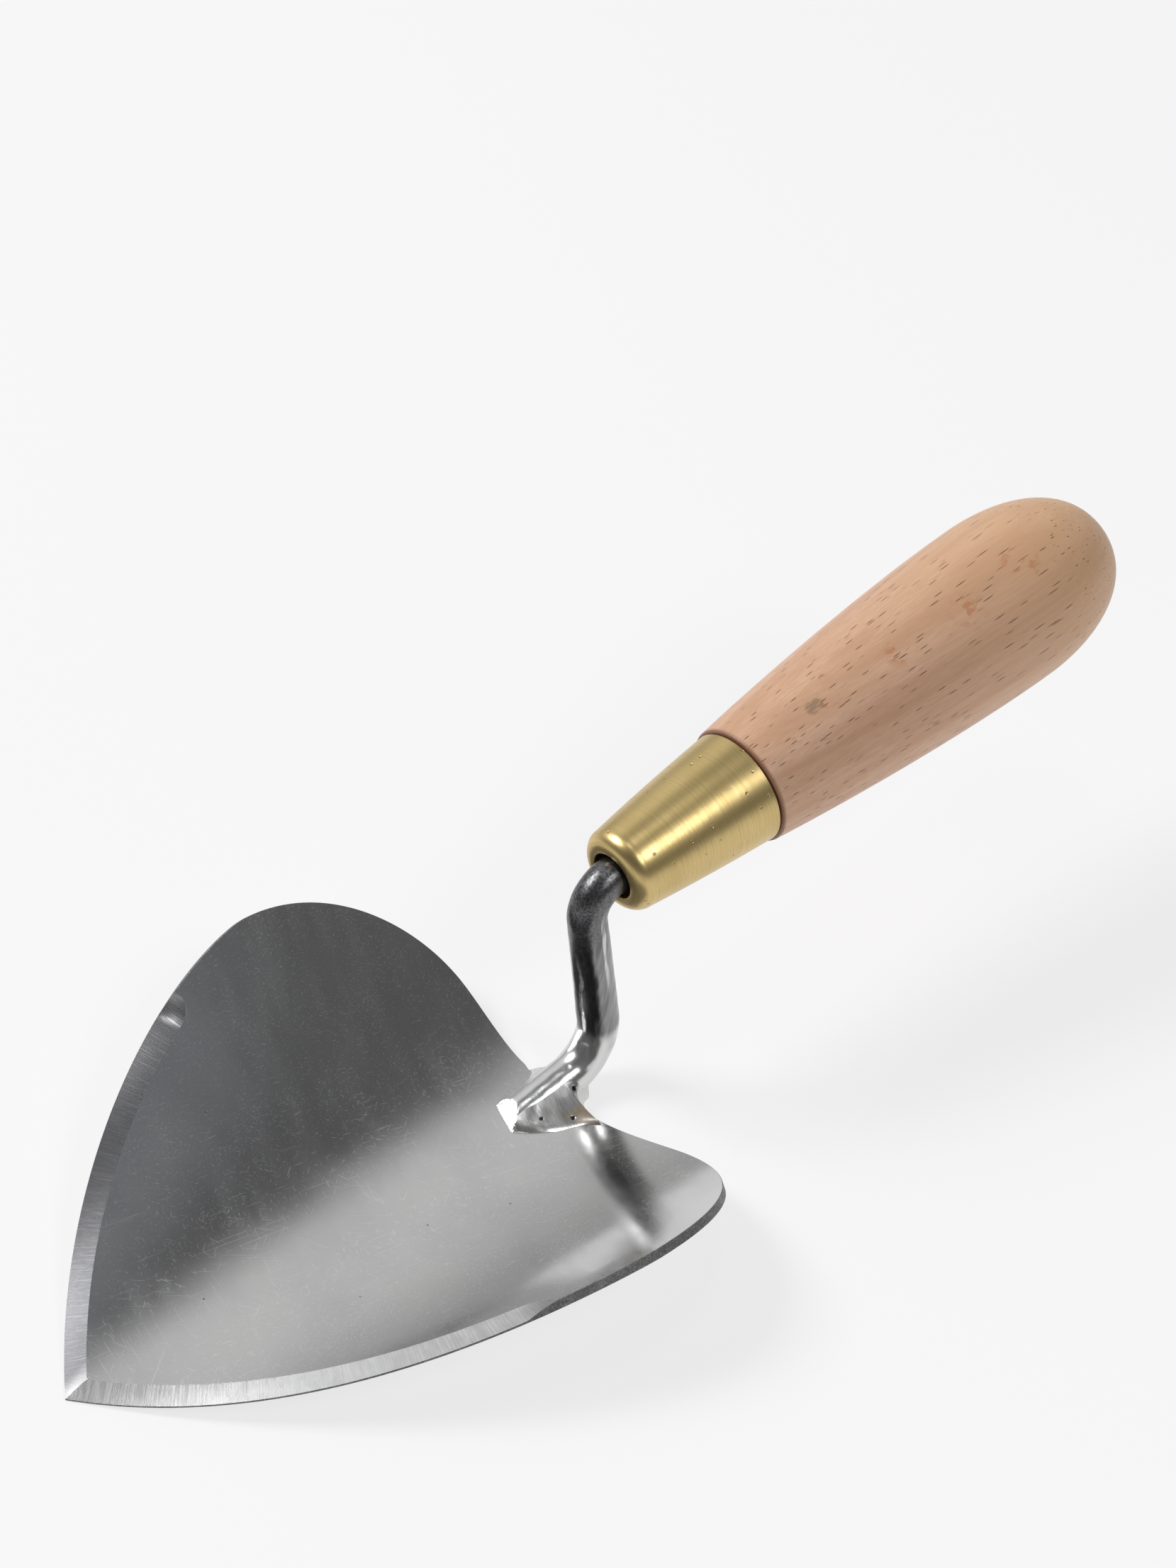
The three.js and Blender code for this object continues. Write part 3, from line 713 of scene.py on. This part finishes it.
def neck_steel():
    """Dark drawn skin with a painted sheen on the top bend and two sides, painted highlight streaks
    up the front, and brighter still round the heel.
    """
    f = Finish("neck_steel")
    height = f.maths("SUBTRACT", f.axis(2), float(PLACE[2]))
    bar = f.node("ShaderNodeSeparateXYZ")
    f.put(bar.inputs[0], f.node("ShaderNodeUVMap", uv_map="bar_map").outputs["UV"])
    wander = f.noise(scale=0.11, detail=1.0)
    turned = f.maths("ADD", bar.outputs[0], f.span(wander, 0.2, 0.8, -9.0, 9.0))
    draw = f.noise(f.mapped((1.6, 1.6, 0.07), (CRANK_LEAN, 0.0, 0.0)), detail=3.0, roughness=0.6)
    peel = f.noise(scale=2.0, detail=2.0, roughness=0.5)

    # A band round the bar at one angle between two heights, where a highlight is painted.
    def painted_streak(middle, width, low, high):
        off = f.maths("ABSOLUTE", f.maths("SUBTRACT", turned, middle))
        band = f.span(off, width * 0.4, width, 1.0, 0.0)
        start = f.span(height, low - 4.0, low + 4.0)
        stop = f.span(height, high - 5.0, high + 5.0, 1.0, 0.0)
        return f.maths("MULTIPLY", band, f.maths("MULTIPLY", start, stop))

    skin_and_sheen = f.span(height, 36.0, 46.0)
    colour = f.mix(f.span(draw, 0.3, 0.7), (0.055, 0.055, 0.058), (0.10, 0.10, 0.104))
    # Lighter peel speckle at the top bend: partly the skin itself and partly a painted sheen.
    colour = f.mix(f.maths("MULTIPLY", skin_and_sheen, f.span(peel, 0.35, 0.65)), colour, (0.17, 0.17, 0.175))
    # Painted sheen: the right side and the back of the bar are painted a lighter grey, fading out
    # towards the top.
    side = f.span(turned, 24.0, 40.0, 1.0, 0.0)
    far_side_sheen = f.span(turned, 225.0, 260.0)
    side = f.maths("MAXIMUM", side, far_side_sheen)
    side_sheen_grey = f.mix(f.span(draw, 0.35, 0.65), (0.19, 0.19, 0.19), (0.29, 0.29, 0.29))
    colour = f.mix(f.maths("MULTIPLY", side, f.span(height, 34.0, 44.0, 0.95, 0.35)), colour, side_sheen_grey)
    # Painted highlights: bright streaks painted into the colour at three angles round the bar, up
    # the front.
    streak_highlight = f.maths("MULTIPLY", f.span(draw, 0.35, 0.6, 0.35, 1.0), 0.75)
    for middle, width, low, high in ((82.0, 9.0, 10.0, 34.0), (356.0, 14.0, 28.0, 46.0),
                                     (118.0, 12.0, 20.0, 40.0)):
        colour = f.mix(f.maths("MULTIPLY", painted_streak(middle, width, low, high), streak_highlight),
                       colour, (0.80, 0.80, 0.80))
    heel = f.span(f.maths("ADD", height, f.span(wander, 0.2, 0.8, -4.0, 4.0)), 9.0, 15.0, 1.0, 0.0)
    colour = f.mix(heel, colour, (0.68, 0.68, 0.675))
    spots, own = f.cells(scale=0.5)
    pit = f.maths("MULTIPLY", f.span(spots, 0.04, 0.10, 1.0, 0.0), f.span(own, 0.8, 0.85))
    colour = f.mix(f.maths("MULTIPLY", pit, 0.5), colour, (0.03, 0.03, 0.03))
    rough = f.maths("ADD", f.span(draw, 0.3, 0.7, 0.20, 0.27), f.maths("MULTIPLY", skin_and_sheen, 0.12))
    relief = f.bump(peel, 0.008)
    relief = f.bump(draw, 0.015, relief)
    return f.finish(Base_Color=colour, Metallic=1.0, Roughness=rough, Normal=relief)


PORES = ((4.6, -2.9, 4.0, 0.55), (9.4, -7.5, 1.9, 0.42), (5.8, -13.2, 2.5, 0.30))


def weld_steel():
    f = Finish("weld_steel")
    grind = f.noise(f.mapped((0.45, 3.2, 0.45), (0.0, 0.0, 0.25)), detail=3.0, roughness=0.6)
    lump = f.noise(scale=0.20, detail=1.0)
    colour = f.mix(f.span(grind, 0.35, 0.65), (0.60, 0.60, 0.595), (0.74, 0.74, 0.73))
    tint = f.near((10.8, BLADE_LENGTH - 4.8, 1.2), 5.0, 0.9)
    colour = f.mix(f.maths("MULTIPLY", tint, 0.42), colour, (0.50, 0.36, 0.20))
    pore = None
    for x, y, z, reach in PORES:
        one = f.near((x, BLADE_LENGTH + y, z), reach + 0.25, 0.5)
        pore = one if pore is None else f.maths("MAXIMUM", pore, one)
    colour = f.mix(pore, colour, (0.05, 0.05, 0.05))
    rough = f.span(lump, 0.35, 0.65, 0.24, 0.34)
    relief = f.bump(lump, 0.30)
    relief = f.bump(grind, 0.010, relief)
    relief = f.bump(f.maths("SUBTRACT", 1.0, pore), 0.25, relief)
    return f.finish(Base_Color=colour, Metallic=1.0, Roughness=rough, Normal=relief)


def ferrule_brass():
    f = Finish("ferrule_brass")
    where = f.node("ShaderNodeUVMap", uv_map="turned_map").outputs["UV"]
    lines = f.noise(f.vector("MULTIPLY", where, (0.05, 3.4, 1.0)), detail=4.0, roughness=0.75)
    cloud = f.noise(scale=0.09, detail=3.0)
    spots, own = f.cells(scale=0.42)
    pit = f.maths("MULTIPLY", f.span(spots, 0.07, 0.16, 1.0, 0.0), f.span(own, 0.55, 0.6))
    colour = f.mix(f.span(lines, 0.3, 0.7), (0.56, 0.415, 0.17), (0.70, 0.54, 0.255))
    colour = f.mix(f.span(cloud, 0.4, 0.75, 0.0, 0.35), colour, (0.46, 0.33, 0.13))
    colour = f.mix(f.maths("MULTIPLY", pit, 0.6), colour, (0.22, 0.14, 0.05))
    rough = f.span(lines, 0.3, 0.7, 0.38, 0.31)
    relief = f.bump(lines, 0.006)
    relief = f.bump(cloud, 0.10, relief)
    relief = f.bump(f.maths("SUBTRACT", 1.0, pit), 0.06, relief)
    return f.finish(Base_Color=colour, Metallic=1.0, Roughness=rough, Normal=relief)


FLECKS = ((7.4, 109.9, 31.3, 6.0), (9.1, 92.9, 27.8, 5.5), (7.1, 73.6, 25.1, 4.0),
          (5.9, 54.8, 21.4, 3.5))        # from the nose of the ferrule: across, along, up, reach


def turned_beech():
    f = Finish("turned_beech")
    tilt = (-HANDLE_PITCH, 0.0, 0.0)
    nose = tuple(float(v) for v in np.array([0.0, *NOSE]) + PLACE)
    from_nose = f.vector("SUBTRACT", f.place, nose)
    along = f.vector("DOT_PRODUCT", from_nose, (0.0, float(AXIS[0]), float(AXIS[1])))
    growth = f.noise(f.mapped((0.16, 0.006, 0.5), tilt), detail=3.0, roughness=0.55)
    fibre = f.noise(f.mapped((2.6, 0.09, 2.6), tilt), detail=3.0, roughness=0.65)
    colour = f.mix(f.span(growth, 0.35, 0.65), (0.585, 0.335, 0.205), (0.665, 0.41, 0.262))
    colour = f.mix(f.span(fibre, 0.35, 0.7, 0.0, 0.45), colour, (0.50, 0.27, 0.155))
    colour = f.mix(f.span(along, FERRULE_LENGTH + 40, FERRULE_LENGTH + WOOD_LENGTH, 0.0, 0.55),
                   colour, (0.64, 0.395, 0.205))
    spots, own = f.cells(f.mapped((1.9, 0.12, 1.9), tilt))
    pore = f.maths("MULTIPLY", f.span(spots, 0.14, 0.27, 1.0, 0.0), f.span(own, 0.50, 0.72))
    colour = f.mix(f.maths("MULTIPLY", pore, 0.85), colour, (0.17, 0.07, 0.035))
    ragged = f.noise(f.mapped((0.50, 0.34, 0.50), tilt), detail=2.0)
    for x, run, rise, reach in FLECKS:
        place = (x, NOSE[0] + run, NOSE[1] + rise)
        stain = f.maths("MULTIPLY", f.near(place, reach, 0.7), f.span(ragged, 0.50, 0.64))
        colour = f.mix(f.maths("MULTIPLY", stain, 0.6), colour, (0.47, 0.17, 0.05))
    smudge = f.maths("MAXIMUM", f.near((5.0, NOSE[0] + 50.8, NOSE[1] + 20.9), 1.9, 0.5),
                     f.near((5.0, NOSE[0] + 52.4, NOSE[1] + 21.2), 1.7, 0.5))
    smudge = f.maths("MULTIPLY", smudge, f.span(fibre, 0.35, 0.5))
    colour = f.mix(f.maths("MULTIPLY", smudge, 0.6), colour, (0.20, 0.14, 0.08))
    # Darker in a thin band on the wood at the shoulder next to the ferrule.
    shoulder_line = f.span(along, FERRULE_LENGTH + 0.35, FERRULE_LENGTH + 1.3, 1.0, 0.0)
    colour = f.mix(f.maths("MULTIPLY", shoulder_line, 0.8), colour, (0.16, 0.055, 0.03))
    rough = f.span(fibre, 0.3, 0.7, 0.40, 0.52)
    relief = f.bump(fibre, 0.025)
    relief = f.bump(f.maths("SUBTRACT", 1.0, pore), 0.07, relief)
    return f.finish(Base_Color=colour, Roughness=rough, Normal=relief, Coat_Weight=0.12,
                    Coat_Roughness=0.3)


def pale_floor():
    f = Finish("pale_floor")
    tone = f.noise(scale=0.002, detail=2.0)
    colour = f.mix(tone, (0.21, 0.21, 0.21), (0.23, 0.23, 0.23))
    return f.finish(Base_Color=colour, Roughness=0.9, Specular_IOR_Level=0.0,
                    Emission_Color=(0.995, 0.99, 1.0), Emission_Strength=0.72)


# ------------------------------------------------------------------ the trowel

def settle(piece, materials, slot, *nodes):
    for material in materials:
        piece.data.materials.append(material)
    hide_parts(*nodes)
    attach(piece, "root")


steel_weld = weld_steel()
settle(make_blade(), [polished_steel(), ground_steel(), raw_edge()], "blade_steel", "blade")
settle(make_neck(), [neck_steel()], "neck_steel", "neck")
settle(make_weld("weld_bead_right", 1, 1.0), [steel_weld], "weld_steel", "weld_right")
settle(make_weld("weld_bead_left", -1, 0.5), [steel_weld], "weld_steel", "weld_left")
settle(make_ferrule(), [ferrule_brass()], "ferrule_brass", "ferrule")
settle(make_handle(), [turned_beech()], "handle_wood", "handle")


# ------------------------------------------------------------------ floor, light and camera

FLOOR_SIZE = 6.0
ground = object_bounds()[0][2]
corner = FLOOR_SIZE / 2
floor_mesh = bpy.data.meshes.new("floor")
floor_mesh.from_pydata([(-corner, -corner, ground), (corner, -corner, ground),
                        (corner, corner, ground), (-corner, corner, ground)],
                       [], [(0, 1, 2, 3)])
floor_mesh.materials.append(pale_floor())
floor = bpy.data.objects.new("floor", floor_mesh)
bpy.context.scene.collection.objects.link(floor)


def heading(azimuth, elevation):
    """The way from the trowel to a light or the camera."""
    a, e = math.radians(azimuth), math.radians(elevation)
    return Vector((math.sin(a) * math.cos(e), -math.cos(a) * math.cos(e), math.sin(e)))


ROOM = 0.135                          # the dim room
SCREEN = 0.635                        # what a lit screen adds to it, behind the trowel
SCREEN_SIDE = heading(233, 0)
SCREEN_TOP = heading(149, 73)         # where it has faded out, and everything beyond
WINDOW = 0.11                         # what a far window adds to it, a little blue
WINDOW_SIDE = heading(14.7, 26.8)     # square to the edge of its light


class Sky:
    """Light from all round, as plain sums over the direction."""

    def __init__(self):
        world = bpy.data.worlds.new("studio")
        world.use_nodes = True
        bpy.context.scene.world = world
        self.tree = world.node_tree
        self.output = self.tree.nodes["World Output"]
        self.aim = self.tree.nodes.new("ShaderNodeTexCoord").outputs["Generated"]

    def towards(self, side):
        node = self.tree.nodes.new("ShaderNodeVectorMath")
        node.operation = "DOT_PRODUCT"
        node.inputs[1].default_value = side
        self.tree.links.new(self.aim, node.inputs[0])
        return node.outputs["Value"]

    def fade(self, value, low, high, to_low, to_high):
        node = self.tree.nodes.new("ShaderNodeMapRange")
        node.interpolation_type = "SMOOTHSTEP"
        for key, number in (("From Min", low), ("From Max", high),
                            ("To Min", to_low), ("To Max", to_high)):
            node.inputs[key].default_value = number
        self.tree.links.new(value, node.inputs["Value"])
        return node.outputs["Result"]

    def shine(self, *lit):
        """Adds up pairs of a strength and the colour it has."""
        above = self.tree.nodes.new("ShaderNodeAddShader")
        for socket, strength, colour in zip(above.inputs, lit[::2], lit[1::2]):
            glow = self.tree.nodes.new("ShaderNodeBackground")
            glow.inputs["Color"].default_value = (*colour, 1.0)
            self.tree.links.new(strength, glow.inputs["Strength"])
            self.tree.links.new(glow.outputs["Background"], socket)
        self.tree.links.new(above.outputs["Shader"], self.output.inputs["Surface"])

    def join(self, operation, a, b):
        node = self.tree.nodes.new("ShaderNodeMath")
        node.operation = operation
        for socket, value in zip(node.inputs, (a, b)):
            if isinstance(value, float):
                socket.default_value = value
            else:
                self.tree.links.new(value, socket)
        return node.outputs["Value"]


sky = Sky()
height = sky.towards((0.0, 0.0, 1.0))
screen = sky.join("MULTIPLY", sky.fade(sky.towards(SCREEN_TOP), 0.70, 0.86, 1.0, 0.0),
                  sky.fade(height, 0.0, 0.55, 0.45, 1.0))
screen = sky.join("MULTIPLY", screen, sky.fade(sky.towards(SCREEN_SIDE), 0.25, 0.6, 0.0, SCREEN))
window = sky.fade(sky.towards(WINDOW_SIDE), -0.012, 0.035, 0.0, WINDOW)
window = sky.join("MULTIPLY", window, sky.fade(height, 0.5, 0.7, 0.0, 1.0))
window = sky.join("MULTIPLY", window, sky.fade(sky.towards(WINDOW_SIDE), 0.2, 0.4, 1.0, 0.0))
sky.shine(sky.join("ADD", screen, ROOM), (1.0, 1.0, 1.0), window, (0.90, 0.97, 1.08))


def soft_light(name, azimuth, elevation, distance, size, power):
    data = bpy.data.lights.new(name, "AREA")
    data.shape = "SQUARE"
    data.size = size
    data.energy = power
    light = bpy.data.objects.new(name, data)
    light.location = heading(azimuth, elevation) * distance
    light.rotation_euler = heading(azimuth, elevation).to_track_quat("Z", "Y").to_euler()
    bpy.context.scene.collection.objects.link(light)


soft_light("soft_left", 305, 47, 2.4, 0.9, 40.0)
soft_light("soft_right", 95, 50, 1.5, 0.42, 5.0)
soft_light("soft_top", 0, 89, 1.5, 0.35, 1.4)

CAMERA_AZIMUTH = 44.954
CAMERA_ELEVATION = 40.109
CAMERA_ROLL = math.radians(-3.203)
CAMERA_DISTANCE = 0.940
CAMERA_AIM = np.array([-11.89, 3.6, 15.1])      # from the nose of the ferrule

aim_point = Vector((np.array([0.0, *NOSE]) + CAMERA_AIM + PLACE) * MM)
back = heading(CAMERA_AZIMUTH, CAMERA_ELEVATION)
level_right = Vector((0, 0, 1)).cross(back).normalized()
level_up = back.cross(level_right)
right = math.cos(CAMERA_ROLL) * level_right - math.sin(CAMERA_ROLL) * level_up
up = math.cos(CAMERA_ROLL) * level_up + math.sin(CAMERA_ROLL) * level_right
camera_data = bpy.data.cameras.new("camera")
camera_data.lens = 105.79
camera_data.sensor_width = 36.0
camera = bpy.data.objects.new("camera", camera_data)
camera.matrix_world = (Matrix.Translation(aim_point + back * CAMERA_DISTANCE)
                       @ Matrix((right, up, back)).transposed().to_4x4())
bpy.context.scene.collection.objects.link(camera)
bpy.context.scene.camera = camera
bpy.context.scene.view_settings.view_transform = "Standard"
